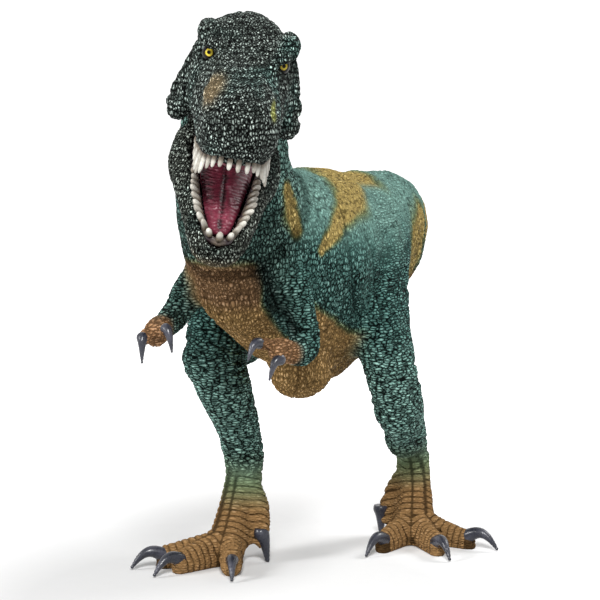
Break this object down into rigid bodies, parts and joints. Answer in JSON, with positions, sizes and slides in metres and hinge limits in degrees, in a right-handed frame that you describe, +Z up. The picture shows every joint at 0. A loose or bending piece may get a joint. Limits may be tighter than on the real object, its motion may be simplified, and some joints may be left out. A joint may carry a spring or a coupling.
{
  "type": "toy dinosaur figure",
  "caption": "Striding two-legged dinosaur toy figure with a long tail, short clawed arms and a hinged lower jaw in a roaring, toothed mouth.",
  "frame": {"origin": "under the middle of the bounding box, on the plane the feet stand on", "axes": "+Z up; the figure faces -Y with its tail towards +Y; +X is its own left side"},
  "size_m": [0.1248, 0.2818, 0.1395],
  "materials": {
    "body": "painted pebbled skin, satin",
    "head": "painted beaded skin, satin",
    "claw": "gloss paint",
    "tooth": "gloss paint",
    "mouth": "gloss paint",
    "tongue": "gloss paint",
    "eye": "gloss paint",
    "pin": "moulded, satin"
  },
  "bodies": {
    "figure": {"torso": "body", "neck": "body", "tail_front": "body", "tail_rear": "body", "left_leg": "body", "right_leg": "body", "left_arm": "body", "right_arm": "body", "left_foot_inner_claw": "claw", "left_foot_middle_claw": "claw", "left_foot_outer_claw": "claw", "left_foot_rear_claw": "claw", "right_foot_outer_claw": "claw", "right_foot_middle_claw": "claw", "right_foot_inner_claw": "claw", "right_foot_rear_claw": "claw", "left_hand_upper_claw": "claw", "left_hand_lower_claw": "claw", "right_hand_outer_claw": "claw", "right_hand_inner_claw": "claw", "skull": "head", "palate": "mouth", "upper_teeth": "tooth", "left_eye": "eye", "right_eye": "eye", "jaw_pin": "pin"},
    "jaw": {"lower_jaw": "head", "lower_teeth": "tooth", "tongue": "tongue"}
  },
  "joints": [
    {"name": "jaw_hinge", "type": "hinge", "parent": "figure", "child": "jaw", "pos_m": [0.02378, -0.09609, 0.11825], "axis": [-0.8844, -0.4278, 0.1866], "range_deg": [0, 10]}
  ]
}
